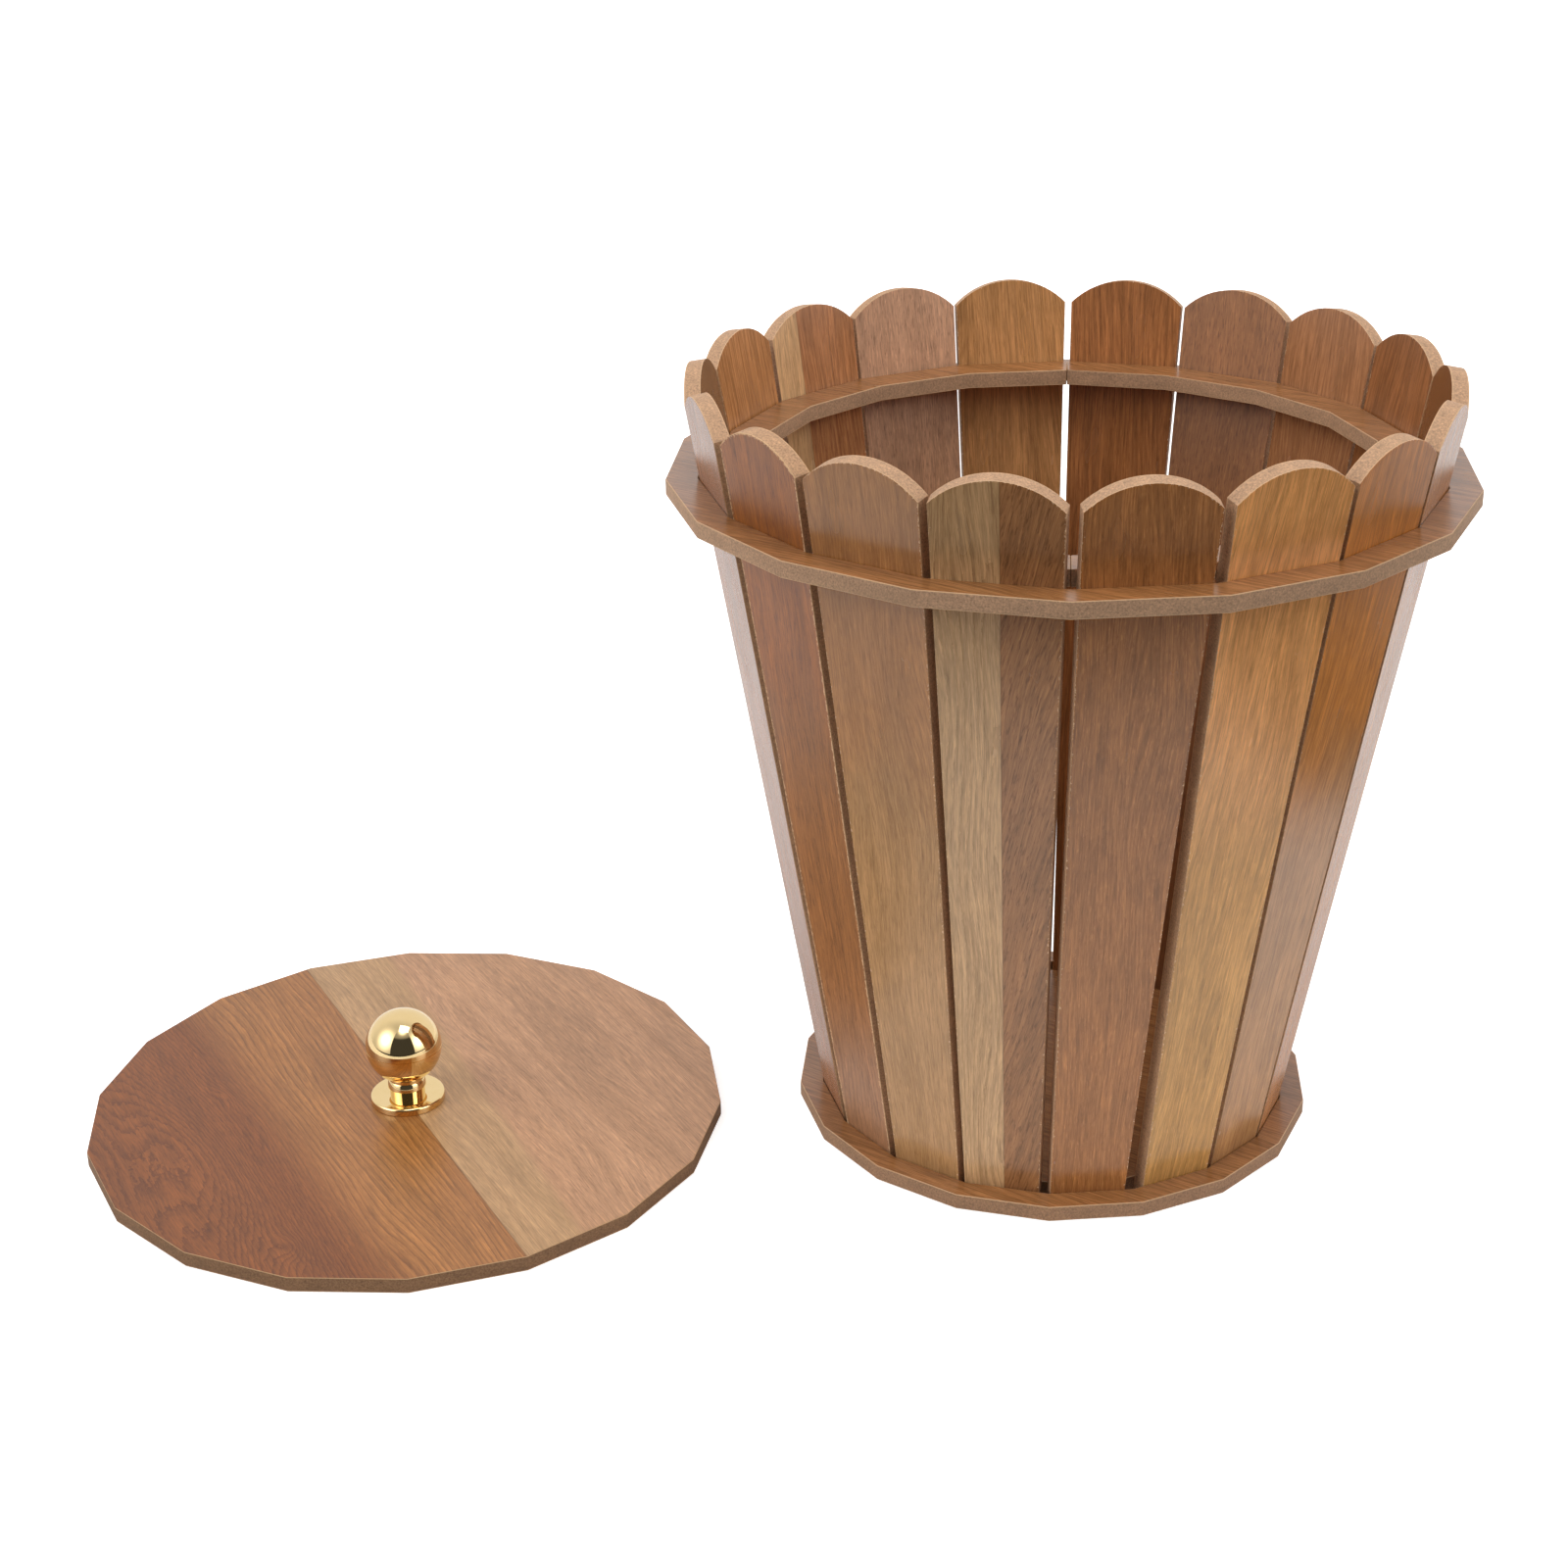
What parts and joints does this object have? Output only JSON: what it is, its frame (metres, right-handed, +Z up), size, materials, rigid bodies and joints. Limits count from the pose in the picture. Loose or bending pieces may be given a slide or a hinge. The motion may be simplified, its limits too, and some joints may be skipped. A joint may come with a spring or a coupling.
{
  "type": "litter bin",
  "caption": "Tapered slatted wooden litter bin with rings around the slats, a polygonal base and a loose lid with a brass ball knob.",
  "frame": {"origin": "middle of the underside of the base, on the ground", "axes": "+Z up along the bin's axis; -Y towards the gap between two slats at the front; the lid lies towards -X"},
  "size_m": [0.508, 0.3022, 0.2875],
  "materials": {
    "laminate_orange_brown": "satin wood-grain laminate on raw fibreboard edges",
    "laminate_lid": "satin wood-grain laminate on raw fibreboard edges",
    "laminate_red_brown": "satin wood-grain laminate on raw fibreboard edges",
    "laminate_honey": "satin wood-grain laminate on raw fibreboard edges",
    "laminate_tan": "satin wood-grain laminate on raw fibreboard edges",
    "laminate_pink_brown": "coarse matt wood-grain laminate on raw fibreboard edges",
    "laminate_olive": "satin wood-grain laminate on raw fibreboard edges",
    "polished_brass": "mirror polished"
  },
  "bodies": {
    "bin": {"slat_01": "laminate_red_brown", "slat_02": "laminate_honey", "slat_03": "laminate_honey", "slat_04": "laminate_tan", "slat_05": "laminate_honey", "slat_06": "laminate_honey", "slat_07": "laminate_red_brown", "slat_08": "laminate_pink_brown", "slat_09": "laminate_red_brown", "slat_10": "laminate_honey", "slat_11": "laminate_pink_brown", "slat_12": "laminate_red_brown", "slat_13": "laminate_honey", "slat_14": "laminate_tan", "slat_15": "laminate_tan", "slat_16": "laminate_pink_brown", "slat_17": "laminate_tan", "slat_18": "laminate_olive", "base_floor": "laminate_orange_brown", "base_rim": "laminate_orange_brown", "outer_ring": "laminate_orange_brown", "inner_ring_left": "laminate_orange_brown", "inner_ring_right": "laminate_orange_brown"},
    "lid": {"lid_board": "laminate_lid", "knob_rose": "polished_brass", "knob_ball": "polished_brass", "knob_screw": "polished_brass"}
  },
  "joints": [
    {"name": "lid_lift", "type": "slide", "parent": "bin", "child": "lid", "axis": [-0.09, 0, 0.9959], "range_m": [0, 0.35]}
  ]
}
